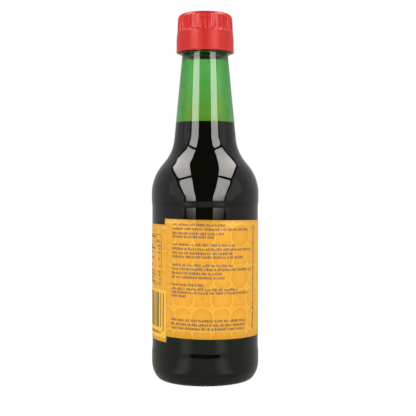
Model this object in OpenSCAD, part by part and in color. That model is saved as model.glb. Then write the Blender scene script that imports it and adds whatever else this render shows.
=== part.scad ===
// A filled sauce bottle of green glass, with a screw cap of ribbed plastic and a paper label
// that wraps once round the body. The origin is the middle of the base and +Z is up.
// The label's seam faces the left of the side that looks along -Y.

/* [Bottle] */
// Diameter of the two contact bands, the widest part of the glass
bottle_d = 58; // [52:0.5:70]
// Height of the glass from the base to the lip
bottle_h = 195.3; // [180:0.1:235]
// Thickness of the side wall
wall = 2.5; // [1.8:0.1:3.2]
// Depth of the label panel below the contact bands
panel_recess = 0.3; // [0:0.05:0.6]
// Height of the foot's contact band, above the rounded heel
foot_band_h = 5.3; // [2:0.1:10]
// Height of the upper contact band, up to the corner that the shoulder rounds off
top_band_h = 12.8; // [9:0.1:18]
// Length of the slope from a contact band down into the panel
panel_slope_h = 2; // [1:0.5:5]

/* [Shoulder and neck] */
// How much wider the neck is at the shoulder than at the bead
neck_flare = 10.15; // [6:0.05:16]
// Height of the shoulder between its two rounded corners
shoulder_h = 14.2; // [10:0.2:22]
// Radius of the hollow curve from the shoulder to the neck
neck_curve_r = 22.5; // [8:0.5:30]
// Radius of the full curve from the shoulder to the body
shoulder_curve_r = 24.3; // [8:0.5:30]

/* [Finish] */
// Height of the finish, from the underside of the bead to the lip
finish_h = 20; // [17:0.1:24]
// Diameter of the finish under the cap
finish_d = 25.2; // [21:0.1:31]
// Thickness of the finish's wall
finish_wall = 3.2; // [2.6:0.1:4]
// How far the bead stands out from the finish above it
bead_out = 1.65; // [1:0.05:2.2]
// How far the bead stands out from the neck below it
bead_over = 1.95; // [1:0.05:2.4]
// Height of the bead
bead_h = 3; // [2:0.1:5]

/* [Base] */
// Height of the rounded heel
heel_h = 10.2; // [6:0.2:14]
// Width of the rounded heel
heel_w = 5.5; // [3:0.1:8]
// Height of the line where the base mould meets the body mould
mould_line_h = 4.2; // [2:0.1:6]
// Step of the glass at that line
mould_step = 0.12; // [0.05:0.01:0.2]
// Width of the flat ring that the bottle stands on
bearing_w = 3; // [2:0.1:5]
// Height of the hollow under the base, at its middle
push_up_h = 3; // [1:0.1:6]
// Thickness of the base at its middle
base_t = 3.8; // [2.5:0.1:6]
// Width left smooth on the inner side of that ring
bearing_smooth_w = 0.8; // [0.4:0.1:2]
// Number of grooves that run outward across the rest of the ring
knurl_n = 60; // [40:1:64]
// Depth of a groove
knurl_depth = 0.45; // [0.2:0.05:0.6]
// Radius of a groove's round bottom
knurl_r = 0.9; // [0.7:0.05:1]

/* [Sauce] */
// Distance from the lip down to the sauce
headspace_h = 57; // [20:0.1:70]
// Gap between the sauce and the glass
fill_clearance = 0.05; // [0.02:0.01:0.1]

/* [Label] */
// Height of the label
label_h = 61.5; // [50:0.5:75]
// Thickness of the paper
label_t = 0.1; // [0.08:0.01:0.2]
// How far the label's end lies below its start, because it was wrapped on a slant
label_drop = 3.2; // [0:0.1:4]
// Bare glass of the panel below the label
label_margin_low = 5.1; // [2:0.1:10]
// Bare glass of the panel above the label
label_margin_top = 6.6; // [2:0.1:10]
// Angle from the front to the label's start, at its lower corner
label_start = -49; // [-180:1:180]
// Gap of glue between the paper and what it lies on
glue_gap = 0.03; // [0.02:0.01:0.06]

/* [Cap] */
// Thickness of the cap's top
cap_top_t = 1.5; // [1:0.1:2.5]
// Height of the bead that shows below the cap
bead_show_h = 0.9; // [0:0.1:2]
// Room for the thread, between the finish and the inside of the cap
thread_room = 0.85; // [0.6:0.05:1.2]
// Thickness of the cap behind the flutes
cap_wall = 0.9; // [0.6:0.1:1.2]
// Depth of the flutes between the ribs
flute_depth = 0.65; // [0.3:0.05:0.8]
// Radius of a flute's round bottom
flute_r = 0.85; // [0.8:0.05:1]
// Height of the slope at a flute's foot
flute_slope_h = 0.8; // [0.4:0.1:2]
// Number of ribs
rib_n = 38; // [28:1:42]
// How much narrower the cap is at its upper edge than at the feet of its ribs
cap_taper = 0.85; // [0:0.05:1.5]
// Radius of the cap's upper edge
cap_edge_r = 2.8; // [1:0.1:3.5]
// Height of the smooth band below the ribs
band_h = 10.6; // [8:0.1:13]
// Thickness of the band where it surrounds the bead
band_wall = 1; // [0.8:0.05:1.6]
// Gap between the band and the bead
cap_clearance = 0.2; // [0.1:0.05:0.4]
// How far the lip at the cap's lower edge stands out from the band
cap_lip_out = 0.12; // [0:0.02:0.4]

/* [Hidden] */

curve_step = 5;   // degrees of turn from point to point on a rounded corner
round_fn = 96;
eps = 0.01;

bottle_r = bottle_d / 2;
panel_r = bottle_r - panel_recess;
bearing_r = bottle_r - heel_w;
panel_z = heel_h + foot_band_h + panel_slope_h;
panel_h = label_h + label_drop + label_margin_low + label_margin_top;
panel_top_z = panel_z + panel_h;
shoulder_z = panel_top_z + panel_slope_h + top_band_h;
neck_base_z = shoulder_z + shoulder_h;
finish_z = bottle_h - finish_h;
sauce_z = bottle_h - headspace_h;
finish_r = finish_d / 2;
bore_r = finish_r - finish_wall;
bead_r = finish_r + bead_out;
neck_top_r = bead_r - bead_over;
neck_base_r = neck_top_r + neck_flare / 2;
finish_edge_r = 0.6;     // rounding of the finish's corners
panel_edge_r = 10;       // rounding where the panel meets the contact bands
push_up_edge_w = 2;      // width of the slope from the bearing ring up into the push-up
push_up_rim_share = 0.4; // height of the push-up's rim, as a share of its middle's
floor_z = push_up_h + base_t;
floor_edge_z = floor_z - push_up_h * 0.8; // the floor falls away to its rim, as the push-up does
floor_curve_r = 8;
bore_slope_h = 4;        // the neck narrows into the bore over this height

cap_z = finish_z + bead_show_h;
cap_top_z = bottle_h + cap_top_t;
band_top_z = cap_z + band_h;
cap_bead_r = bead_r + cap_clearance;
cap_thread_r = finish_r + thread_room;
cap_rib_r = cap_thread_r + cap_wall + flute_depth;
cap_top_r = cap_rib_r - cap_taper / 2;
band_r = cap_bead_r + band_wall;
cap_lip_r = band_r + cap_lip_out;
cap_step_w = 0.12;       // width of the step from the ribs out to the band
cap_step_h = 0.4;        // height of the slope from the ribs out to the band
band_flare_h = 4;        // height over which the band widens
cap_lip_h = 0.5;
cap_lip_slope_h = 0.7;
cap_lip_bevel = 0.1;
flute_foot_h = 0.1;      // smooth height between the band and the foot of a flute
cap_shelf_h = 1;         // height of the slope inside, from the bead up to the thread

// The path helpers take corners of the form [radius, height, fillet].
function direction(a, b) = let (d = [b[0] - a[0], b[1] - a[1]]) d / norm(d);
function turn(c, i) =
    i == 0 || i == len(c) - 1 ? 0 :
    let (a = direction(c[i - 1], c[i]), b = direction(c[i], c[i + 1]))
    atan2(a[0] * b[1] - a[1] * b[0], a * b);
function wanted_run(c, i) = c[i][2] * tan(abs(turn(c, i)) / 2);
function span(c, i) = norm([c[i + 1][0] - c[i][0], c[i + 1][1] - c[i][1]]);
// The length that a fillet takes from each side, kept short enough for its neighbours.
function run(c, i) =
    let (
        own = wanted_run(c, i),
        before = own + wanted_run(c, i - 1),
        after = own + wanted_run(c, i + 1)
    )
    own * min(1, span(c, i - 1) / max(before, eps), span(c, i) / max(after, eps));
function corner_points(c, i) =
    let (
        t = turn(c, i),
        p = [c[i][0], c[i][1]],
        cut = (i == 0 || i == len(c) - 1 || c[i][2] == 0) ? 0 : run(c, i)
    )
    cut < eps ? [p] :
    let (
        d = direction(c[i - 1], c[i]),
        start = p - d * cut,
        r = cut / tan(abs(t) / 2),
        arm = [-d[1], d[0]] * (r * sign(t)),
        steps = max(1, ceil(abs(t) / curve_step))
    )
    [for (k = [0:steps])
        let (a = t * k / steps)
        start + arm - [arm[0] * cos(a) - arm[1] * sin(a), arm[0] * sin(a) + arm[1] * cos(a)]];
function rounded(c) = [for (i = [0:len(c) - 1]) each corner_points(c, i)];

// Corners of a path that runs beside another, depth further in on its right.
function right_of(d) = [d[1], -d[0]];
function inset(c, depth) =
    [for (i = [0:len(c) - 1])
        let (
            a = right_of(direction(c[max(i - 1, 0)], c[max(i, 1)])),
            b = right_of(direction(c[min(i, len(c) - 2)], c[min(i + 1, len(c) - 1)])),
            s = (a + b) * depth / (1 + a * b),
            t = turn(c, i)
        )
        [c[i][0] + s[0], c[i][1] + s[1], max(0, c[i][2] + sign(t) * depth)]];

// The neck, shoulder and body from the bead down to the heel.
side_corners = [
    [neck_top_r, finish_z, 0],
    [neck_base_r, neck_base_z, neck_curve_r],
    [bottle_r, shoulder_z, shoulder_curve_r],
    [bottle_r, panel_top_z + panel_slope_h, panel_edge_r],
    [panel_r, panel_top_z, panel_edge_r],
    [panel_r, panel_z, panel_edge_r],
    [bottle_r, panel_z - panel_slope_h, panel_edge_r],
    [bottle_r, heel_h, 0]
];
finish_corners = [
    [bore_r, bottle_h, 0],
    [finish_r, bottle_h, finish_edge_r * 1.5],
    [finish_r, finish_z + bead_h + finish_edge_r * 1.5, finish_edge_r],
    [bead_r, finish_z + bead_h, finish_edge_r],
    [bead_r, finish_z, finish_edge_r * 1.5],
    [neck_top_r, finish_z, 0]
];
push_up_corners = [
    [bearing_r, 0, 0],
    [bearing_r - bearing_w, 0, 0],
    [bearing_r - bearing_w - push_up_edge_w, push_up_h * push_up_rim_share, push_up_edge_w],
    [0, push_up_h, 0]
];
// The heel is a quarter of an ellipse, which steps in below the mould line.
function heel_points() =
    [for (t = [curve_step:curve_step:90 - curve_step])
        let (z = heel_h * (1 - sin(t)), step = z < mould_line_h ? mould_step * cos(t) : 0)
        [bearing_r + heel_w * cos(t) - step, z]];

// The inside surface from the bore down to the middle of the floor, depth below the outer skin.
function cavity_points(depth) =
    let (
        side = inset(side_corners, depth),
        more = depth - wall,
        slope_z = finish_z - bore_slope_h,
        neck_share = (slope_z - neck_base_z) / (finish_z - neck_base_z),
        neck_r = neck_base_r + (neck_top_r - neck_base_r) * neck_share - depth
    )
    rounded([
        [bore_r - more, bottle_h, 0],
        [bore_r - more, finish_z, bore_slope_h],
        [neck_r, slope_z, bore_slope_h],
        side[1],
        side[2],
        [bottle_r - depth, floor_edge_z + more, floor_curve_r],
        [0, floor_z + more, 0]
    ]);

function backwards(v) = [for (i = [len(v) - 1:-1:0]) v[i]];

module knurl_cutters() {
    for (i = [0:knurl_n - 1])
        rotate([0, 0, 360 / knurl_n * i])
            translate([bearing_r - bearing_w + bearing_smooth_w, 0, knurl_depth - knurl_r])
                rotate([0, 90, 0])
                    cylinder(r = knurl_r, h = bearing_w + heel_w, $fn = 24);
}

module glass() {
    color([0.20, 0.52, 0.20, 0.6])
        difference() {
            rotate_extrude($fn = round_fn)
                polygon(concat(
                    rounded(finish_corners),
                    rounded(side_corners),
                    heel_points(),
                    rounded(push_up_corners),
                    backwards(cavity_points(wall))
                ));
            knurl_cutters();
        }
}

module sauce() {
    color([0.05, 0.03, 0.02])
        intersection() {
            rotate_extrude($fn = round_fn)
                polygon(concat(cavity_points(wall + fill_clearance), [[0, bottle_h]]));
            cylinder(r = bottle_r, h = sauce_z, $fn = round_fn);
        }
}

// The label is a strip wound on a slant. Its end lies over its start by one step of the winding.
label_steps = 90;
label_step = 360 / label_steps;
label_lift_steps = 3;
label_layer = label_t + glue_gap;
label_slant = atan(label_drop / (2 * PI * panel_r));
// The slant carries the strip's upper edge round by this angle.
label_lean = label_h * sin(label_slant) / panel_r * 180 / PI;
label_base_z = panel_z + label_margin_low + label_drop * (1 + 1 / label_steps);

// One cross-section of the strip: its lower inner, lower outer, upper outer and upper inner corner.
function label_section(i) =
    let (
        lift = min(max((i - (label_steps - label_lift_steps)) / label_lift_steps, 0), 1) * label_layer,
        r = (panel_r + glue_gap + lift) / cos(label_step / 2),
        a = label_start + i * label_step,
        z = label_base_z - label_drop * i / label_steps
    )
    [for (k = [[0, 0], [label_t, 0], [label_t, 1], [0, 1]])
        let (b = a + label_lean * k[1])
        [(r + k[0]) * sin(b), -(r + k[0]) * cos(b), z + label_h * cos(label_slant) * k[1]]];

module label() {
    last = label_steps + 1;
    points = [for (i = [0:last]) each label_section(i)];
    sides = [for (i = [0:last - 1], k = [0:3])
        let (a = 4 * i + k, b = 4 * i + (k + 1) % 4, c = b + 4, d = a + 4)
        each (k == 2 ? [[a, c, b], [a, d, c]] : [[a, d, b], [b, d, c]])];
    ends = [[0, 1, 2], [0, 2, 3], [4 * last + 2, 4 * last + 1, 4 * last], [4 * last + 3, 4 * last + 2, 4 * last]];
    color([0.94, 0.68, 0.22])
        polyhedron(points, concat(sides, ends));
}

// The cap's outside, from the middle of its top down to its lower edge.
cap_corners = [
    [0, cap_top_z, 0],
    [cap_top_r, cap_top_z, cap_edge_r],
    [cap_rib_r, band_top_z + cap_step_h, 0],
    [cap_rib_r + cap_step_w, band_top_z, cap_step_h / 2],
    [band_r, band_top_z - band_flare_h, band_flare_h * 2],
    [band_r, cap_z + cap_lip_h + cap_lip_slope_h, cap_lip_slope_h],
    [cap_lip_r, cap_z + cap_lip_h, cap_lip_h / 2],
    [cap_lip_r - cap_lip_bevel, cap_z, 0]
];
// The inside clears the bead below and the finish above.
cap_cavity_corners = [
    [cap_bead_r, cap_z, 0],
    [cap_bead_r, band_top_z - band_flare_h, 0],
    [cap_thread_r, band_top_z - band_flare_h + cap_shelf_h, 0],
    [cap_thread_r, bottle_h, 0],
    [0, bottle_h, 0]
];

module flute_cutter() {
    centre_r = cap_rib_r - flute_depth + flute_r;
    translate([0, -centre_r, band_top_z + cap_step_h + flute_foot_h]) {
        cylinder(r1 = flute_r - flute_depth, r2 = flute_r, h = flute_slope_h, $fn = 32);
        translate([0, 0, flute_slope_h]) cylinder(r = flute_r, h = cap_top_z - band_top_z, $fn = 32);
    }
}

module cap() {
    color([0.80, 0.12, 0.10])
        difference() {
            rotate_extrude($fn = round_fn)
                polygon(concat(rounded(cap_corners), rounded(cap_cavity_corners)));
            for (i = [0:rib_n - 1])
                rotate([0, 0, 360 / rib_n * (i + 0.5)]) flute_cutter();
        }
}

glass();
sauce();
label();
cap();
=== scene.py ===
"""Looks of a filled sauce bottle: green glass, dark sauce, a ribbed screw cap and a paper label.

Sizes in the classes are in millimetres and become metres where a mesh is made. Turns round the
bottle are in degrees from its front (-Y) and grow towards +X.
"""

import logging
import math
import random
from dataclasses import dataclass, field, replace
from enum import Enum
from typing import ClassVar, Sequence

import bmesh
import bpy
from mathutils import Matrix, Vector


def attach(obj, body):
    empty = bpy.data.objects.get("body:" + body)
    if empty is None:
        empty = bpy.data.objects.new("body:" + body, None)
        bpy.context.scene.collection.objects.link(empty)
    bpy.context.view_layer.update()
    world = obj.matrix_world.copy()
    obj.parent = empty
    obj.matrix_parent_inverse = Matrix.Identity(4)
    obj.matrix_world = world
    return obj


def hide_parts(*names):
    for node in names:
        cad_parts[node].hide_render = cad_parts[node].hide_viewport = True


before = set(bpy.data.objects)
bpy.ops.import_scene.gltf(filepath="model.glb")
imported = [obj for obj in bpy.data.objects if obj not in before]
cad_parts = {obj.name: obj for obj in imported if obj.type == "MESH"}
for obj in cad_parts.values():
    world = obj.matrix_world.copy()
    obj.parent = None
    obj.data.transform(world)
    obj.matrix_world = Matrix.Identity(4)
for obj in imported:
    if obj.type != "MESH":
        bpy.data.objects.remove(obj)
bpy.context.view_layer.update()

LOG = logging.getLogger("bottle")
MM = 0.001
BODY = "root"
WELD = 1e-6          # metres within which doubled points are one
UP = Vector((0.0, 0.0, 1.0))

# Values between which nearly all of an uneven pattern lies
PATCH_LOW, PATCH_HIGH = 0.3, 0.7

Colour = tuple[float, float, float, float]
Tree = bpy.types.NodeTree
Socket = bpy.types.NodeSocket
Mesh = bmesh.types.BMesh
Piece = bpy.types.Object


class Slot(Enum):
    """Names of the material slots."""

    GLASS = "green_glass"
    SAUCE = "soy_sauce"
    LABEL = "label_paper"
    CAP = "cap_plastic"


class SeenBy(Enum):
    """The rays that meet a piece of the stage."""

    CAMERA = ("visible_camera", "visible_transmission")
    BOUNCES = ("visible_diffuse",)
    REFLECTIONS = ("visible_glossy",)


# ---------------------------------------------------------------------------------------------
# Nodes and finishes


def linear(code: str) -> Colour:
    """Turns an sRGB hex colour into linear light.

    Args:
        code: the colour as "#rrggbb".

    Returns:
        Red, green, blue and a full alpha.
    """
    channels = [int(code[i:i + 2], 16) / 255 for i in (1, 3, 5)]
    light = [c / 12.92 if c <= 0.04045 else ((c + 0.055) / 1.055) ** 2.4 for c in channels]
    return (light[0], light[1], light[2], 1.0)


def add_node(
    tree: Tree, kind: str, inputs: dict | None = None, **settings: object
) -> bpy.types.Node:
    """Adds a node with its settings and fills or links its inputs.

    Args:
        tree: the node tree it joins.
        kind: the node's type name.
        inputs: input name or number, to a value or to the output that feeds it.
        settings: the node's own properties.

    Returns:
        The new node.
    """
    node = tree.nodes.new(kind)
    for name, value in settings.items():
        setattr(node, name, value)
    for key, value in (inputs or {}).items():
        if isinstance(value, Socket):
            tree.links.new(value, node.inputs[key])
        else:
            node.inputs[key].default_value = value
    return node


def per_metre(size: float) -> float:
    """Gives the pattern scale whose features are this many millimetres apart."""
    return 1 / (size * MM)


def clamped(value: float) -> float:
    """Keeps a value from 0 to 1."""
    return min(max(value, 0.0), 1.0)


def eased(share: float) -> float:
    """Turns an even rise from 0 to 1 into one that is level at both ends."""
    return share * share * (3 - 2 * share)


@dataclass(frozen=True)
class Finish:
    """A material's name and how its nodes are laid."""

    name: str

    def surface(self, tree: Tree) -> Socket:
        """Lays the nodes of the surface and returns the shader's output."""
        raise NotImplementedError

    def volume(self, tree: Tree) -> Socket | None:
        """Lays the nodes of what fills the piece, if light passes through it."""
        return None

    def material(self) -> bpy.types.Material:
        """Makes the material from its surface and its filling."""
        made = bpy.data.materials.new(self.name)
        made.use_nodes = True
        tree = made.node_tree
        tree.nodes.clear()
        sockets = {"Surface": self.surface(tree)}
        filling = self.volume(tree)
        if filling is not None:
            sockets["Volume"] = filling
        add_node(tree, "ShaderNodeOutputMaterial", sockets)
        return made

    def unevenness(self, tree: Tree, size: float, detail: float) -> Socket:
        """Lays an uneven pattern through the piece.

        Args:
            tree: the material's nodes.
            size: distance between its patches, in millimetres.
            detail: how many finer layers it has.

        Returns:
            The pattern's value at each point, about one half.
        """
        place = add_node(tree, "ShaderNodeTexCoord")
        noise = add_node(
            tree,
            "ShaderNodeTexNoise",
            {"Vector": place.outputs["Object"], "Scale": per_metre(size), "Detail": detail},
        )
        return noise.outputs["Fac"]

    def relief(
        self,
        tree: Tree,
        size: float,
        depth: float,
        detail: float = 2.0,
        under: Socket | None = None,
    ) -> Socket:
        """Lays an uneven relief over the piece.

        Args:
            tree: the material's nodes.
            size: distance between its hills, in millimetres.
            depth: height of its hills, in millimetres.
            detail: how many finer layers it has.
            under: a coarser relief that this one lies on.

        Returns:
            The bent normal.
        """
        height = self.unevenness(tree, size, detail)
        sockets = {"Height": height, "Distance": depth * MM, "Strength": 1.0}
        if under is not None:
            sockets["Normal"] = under
        return add_node(tree, "ShaderNodeBump", sockets).outputs["Normal"]

    def mottled(
        self,
        tree: Tree,
        base: Socket | Colour,
        other: Colour,
        size: float,
        share: float,
    ) -> Socket:
        """Varies a colour towards another in soft patches.

        Args:
            tree: the material's nodes.
            base: the main colour.
            other: the colour that the patches lean to.
            size: distance between patches, in millimetres.
            share: how far the patches lean, from 0 to 1.

        Returns:
            The varied colour.
        """
        amount = add_node(
            tree,
            "ShaderNodeMapRange",
            {
                "Value": self.unevenness(tree, size, 3.0),
                "From Min": PATCH_LOW,
                "From Max": PATCH_HIGH,
                "To Max": share,
            },
        )
        mix = add_node(
            tree,
            "ShaderNodeMix",
            {"Factor": amount.outputs["Result"], 6: base, 7: other},
            data_type="RGBA",
        )
        return mix.outputs[2]


@dataclass(frozen=True)
class PressedGreenGlass(Finish):
    """Soda-lime container glass, blown in a mould: smooth, faintly wavy and deep green.

    The colour comes from how deep light goes in the wall, so edges are darker than faces. A film
    of sauce on the inner wall warms the green just above the fill.
    """

    absorbs: str = "#6ad560"
    density: float = 545.0
    film: str = "#ffd242"
    ior: float = 1.52
    wave_size: float = 21.0
    wave_depth: float = 0.05
    grain_size: float = 4.0
    grain_depth: float = 0.0012

    def surface(self, tree: Tree) -> Socket:
        """Lays clear glass with a tint where the film is."""
        wet = add_node(tree, "ShaderNodeAttribute", attribute_name="film")
        tint = add_node(
            tree,
            "ShaderNodeMix",
            {"Factor": wet.outputs["Fac"], 6: (1.0, 1.0, 1.0, 1.0), 7: linear(self.film)},
            data_type="RGBA",
        )
        waves = self.relief(tree, self.wave_size, self.wave_depth, 1.0)
        normal = self.relief(tree, self.grain_size, self.grain_depth, 2.0, waves)
        return add_node(
            tree,
            "ShaderNodeBsdfPrincipled",
            {
                "Base Color": tint.outputs[2],
                "Roughness": 0.0,
                "IOR": self.ior,
                "Transmission Weight": 1.0,
                "Normal": normal,
            },
        ).outputs["BSDF"]

    def volume(self, tree: Tree) -> Socket:
        """Lays the green that deepens with the way through the glass."""
        return add_node(
            tree,
            "ShaderNodeVolumeAbsorption",
            {"Color": linear(self.absorbs), "Density": self.density},
        ).outputs["Volume"]


@dataclass(frozen=True)
class SauceAgainstGlass(Finish):
    """Soy sauce where it wets the glass: near-black brown with no gloss of its own."""

    dark: str = "#0a0705"
    warm: str = "#150d07"

    def surface(self, tree: Tree) -> Socket:
        """Lays a dark brown without a reflection, because glass lies right on it."""
        colour = self.mottled(tree, linear(self.dark), linear(self.warm), 30.0, 0.6)
        return add_node(
            tree,
            "ShaderNodeBsdfPrincipled",
            {"Base Color": colour, "Roughness": 0.6, "Specular IOR Level": 0.0},
        ).outputs["BSDF"]


@dataclass(frozen=True)
class SauceOpen(Finish):
    """Soy sauce with air above it: a still, mirror-smooth surface of near-black brown."""

    dark: str = "#120a05"
    warm: str = "#2a1608"

    def surface(self, tree: Tree) -> Socket:
        """Lays a dark liquid with a smooth skin."""
        colour = self.mottled(tree, linear(self.dark), linear(self.warm), 8.0, 0.6)
        return add_node(
            tree,
            "ShaderNodeBsdfPrincipled",
            {
                "Base Color": colour,
                "Roughness": 0.03,
                "IOR": 1.36,
                "Normal": self.relief(tree, 12.0, 0.02),
            },
        ).outputs["BSDF"]


@dataclass(frozen=True)
class MouldedCapPlastic(Finish):
    """Red polypropylene, injection moulded: an even colour with more or less gloss."""

    red: str = "#c8241c"
    deep: str = "#bd1c16"
    roughness: float = 0.36
    gloss: float = 0.33
    uneven: float = 0.04
    grain_size: float = 0.9
    grain_depth: float = 0.0015

    def surface(self, tree: Tree) -> Socket:
        """Lays the moulded skin, a little uneven in colour and gloss."""
        roughness = add_node(
            tree,
            "ShaderNodeMapRange",
            {
                "Value": self.unevenness(tree, 5.0, 4.0),
                "From Min": PATCH_LOW,
                "From Max": PATCH_HIGH,
                "To Min": self.roughness - self.uneven,
                "To Max": self.roughness + self.uneven,
            },
        )
        colour = self.mottled(tree, linear(self.red), linear(self.deep), 7.0, 0.3)
        flow = self.relief(tree, 9.0, 0.03)
        return add_node(
            tree,
            "ShaderNodeBsdfPrincipled",
            {
                "Base Color": colour,
                "Roughness": roughness.outputs["Result"],
                "IOR": 1.49,
                "Specular IOR Level": self.gloss,
                "Normal": self.relief(tree, self.grain_size, self.grain_depth, 2.0, flow),
            },
        ).outputs["BSDF"]


@dataclass(frozen=True)
class Ring:
    """One set of rings in the label's pattern, in lattice steps from the pattern's centre."""

    along: int
    up: int
    dot: bool = False


@dataclass(frozen=True)
class PrintedLabelPaper(Finish):
    """Coated label paper, offset printed: warm orange with a lattice of overlapping rings.

    The coating gives it a soft sheen. The rings have a yellow rim and a deeper orange just inside.
    """

    width: float = 183.3
    height: float = 61.5
    ground: str = "#eea828"
    inside: str = "#e89f1a"
    rim: str = "#efb931"
    dot: str = "#e99725"
    pitch_along: float = 10.5
    pitch_up: float = 10.85
    centre_along: float = 22.9
    centre_up: float = 10.2
    ring_r: float = 6.65
    rim_w: float = 0.75
    # Lowest set first: each next one lies over those before it
    rings: tuple[Ring, ...] = (Ring(0, 1, True), Ring(1, 1), Ring(1, 0), Ring(0, 0))
    fibre_size: float = 0.6

    def ring_colours(self, tree: Tree, distance: Socket,
                     dot: bool) -> Socket:
        """Lays the colours from a ring's middle out to its rim.

        Args:
            tree: the material's nodes.
            distance: distance from the ring's middle, as a share of its radius.
            dot: whether the ring has a dot in its middle.

        Returns:
            The colour.
        """
        ramp = add_node(tree, "ShaderNodeValToRGB", {"Fac": distance})
        rim_start = 1 - self.rim_w / self.ring_r
        stops = [(0.0, self.dot), (0.11, self.dot), (0.19, self.ground)] if dot else []
        stops += [
            (0.35, self.ground),
            (rim_start - 0.12, self.inside),
            (rim_start - 0.04, self.inside),
            (rim_start + 0.02, self.rim),
            (1.0, self.rim),
        ]
        elements = ramp.color_ramp.elements
        while len(elements) < len(stops):
            elements.new(0.5)
        for element, (position, colour) in zip(elements, stops):
            element.position = position
            element.color = linear(colour)
        return ramp.outputs["Color"]

    def pattern(self, tree: Tree) -> Socket:
        """Lays the four sets of rings one over the other on the flat label."""
        flat = add_node(tree, "ShaderNodeTexCoord")
        place = add_node(
            tree,
            "ShaderNodeVectorMath",
            {0: flat.outputs["UV"], 1: (self.width, self.height, 0.0)},
            operation="MULTIPLY",
        )
        half = (self.pitch_along, self.pitch_up, 1.0)
        colour: Socket | Colour = linear(self.ground)
        for ring in self.rings:
            centre = (
                self.centre_along + ring.along * self.pitch_along,
                self.centre_up + ring.up * self.pitch_up,
                0.0,
            )
            offset = add_node(
                tree,
                "ShaderNodeVectorMath",
                {0: place.outputs[0], 1: centre},
                operation="SUBTRACT",
            )
            cell = add_node(
                tree,
                "ShaderNodeVectorMath",
                {0: offset.outputs[0], 1: half, 2: tuple(-h for h in half)},
                operation="WRAP",
            )
            far = add_node(tree, "ShaderNodeVectorMath", {0: cell.outputs[0]}, operation="LENGTH")
            share = add_node(
                tree,
                "ShaderNodeMath",
                {0: far.outputs["Value"], 1: self.ring_r},
                operation="DIVIDE",
            )
            covers = add_node(
                tree,
                "ShaderNodeMapRange",
                {"Value": share.outputs[0], "From Min": 1.03, "From Max": 0.99},
            )
            mix = add_node(
                tree,
                "ShaderNodeMix",
                {
                    "Factor": covers.outputs["Result"],
                    6: colour,
                    7: self.ring_colours(tree, share.outputs[0], ring.dot),
                },
                data_type="RGBA",
            )
            colour = mix.outputs[2]
        return colour

    def surface(self, tree: Tree) -> Socket:
        """Lays the printed pattern on faintly fibrous coated paper."""
        colour = self.mottled(tree, self.pattern(tree), linear(self.inside), 9.0, 0.25)
        flat = self.relief(tree, 14.0, 0.02, 1.0)
        return add_node(
            tree,
            "ShaderNodeBsdfPrincipled",
            {
                "Base Color": colour,
                "Roughness": 0.42,
                "IOR": 1.45,
                "Normal": self.relief(tree, self.fibre_size, 0.003, 3.0, flat),
            },
        ).outputs["BSDF"]


@dataclass(frozen=True)
class PlainPaper(Finish):
    """Bare paper at the label's cut edge: off-white, matt and fibrous."""

    pale: str = "#efe3cf"
    shade: str = "#d9c8ab"

    def surface(self, tree: Tree) -> Socket:
        """Lays matt paper."""
        return add_node(
            tree,
            "ShaderNodeBsdfPrincipled",
            {
                "Base Color": self.mottled(tree, linear(self.pale), linear(self.shade), 0.8, 0.6),
                "Roughness": 0.8,
                "Normal": self.relief(tree, 0.3, 0.004),
            },
        ).outputs["BSDF"]


@dataclass(frozen=True)
class PrintersInk(Finish):
    """Offset ink on coated paper: matt, and a little uneven where it lies thin."""

    full: str = "#4e383c"
    thin: str = "#82604c"
    patch: float = 0.9

    def surface(self, tree: Tree) -> Socket:
        """Lays ink that is thinner in places."""
        return add_node(
            tree,
            "ShaderNodeBsdfPrincipled",
            {
                "Base Color": self.mottled(
                    tree, linear(self.full), linear(self.thin), self.patch, 1.0
                ),
                "Roughness": 0.5,
                "Normal": self.relief(tree, 0.6, 0.002),
            },
        ).outputs["BSDF"]


@dataclass(frozen=True)
class PlainLight(Finish):
    """A lit or dark panel of the studio, as bright as its points' share says."""

    light: float
    tone: str = "#fffbf5"

    def surface(self, tree: Tree) -> Socket:
        """Lays a glow that is the panel's light times each point's share of it."""
        share = add_node(tree, "ShaderNodeAttribute", attribute_name="share")
        strength = add_node(
            tree,
            "ShaderNodeMath",
            {0: share.outputs["Fac"], 1: self.light},
            operation="MULTIPLY",
        )
        return add_node(
            tree,
            "ShaderNodeEmission",
            {"Color": linear(self.tone), "Strength": strength.outputs[0]},
        ).outputs["Emission"]


@dataclass(frozen=True)
class FloorPaint(Finish):
    """The studio's matt pale floor."""

    white: float
    glow: float
    tone: str = "#ffffff"

    def surface(self, tree: Tree) -> Socket:
        """Lays a matt floor that also glows a little."""
        white = (self.white, self.white, self.white, 1.0)
        return add_node(
            tree,
            "ShaderNodeBsdfPrincipled",
            {
                "Base Color": white,
                "Roughness": 1.0,
                "Specular IOR Level": 0.0,
                "Emission Color": linear(self.tone),
                "Emission Strength": self.glow,
            },
        ).outputs["BSDF"]


# ---------------------------------------------------------------------------------------------
# Turned sections


@dataclass(frozen=True)
class Corner:
    """A corner of a section: its radius and height, and the fillet that rounds it."""

    radius: float
    height: float
    fillet: float = 0.0

    @property
    def place(self) -> Vector:
        """The corner as a point of the section."""
        return Vector((self.radius, self.height))


Path = Sequence[Corner]


def heading(path: Path, i: int) -> Vector:
    """Gives the direction from a corner to the next."""
    return (path[i + 1].place - path[i].place).normalized()


def bend(path: Path, i: int) -> float:
    """Gives the turn at a corner, in radians, positive to the left and none at the ends."""
    if i in (0, len(path) - 1):
        return 0.0
    before, after = heading(path, i - 1), heading(path, i)
    return math.atan2(before.x * after.y - before.y * after.x, before.dot(after))


def cutback(path: Path, i: int) -> float:
    """Gives the length that a corner's fillet takes from each side, short enough to fit."""
    own, before, after = (
        path[k].fillet * math.tan(abs(bend(path, k)) / 2) for k in (i, i - 1, i + 1)
    )
    if own == 0:
        return 0.0
    run_in = (path[i].place - path[i - 1].place).length
    run_out = (path[i + 1].place - path[i].place).length
    return own * min(1.0, run_in / (own + before), run_out / (own + after))


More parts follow.
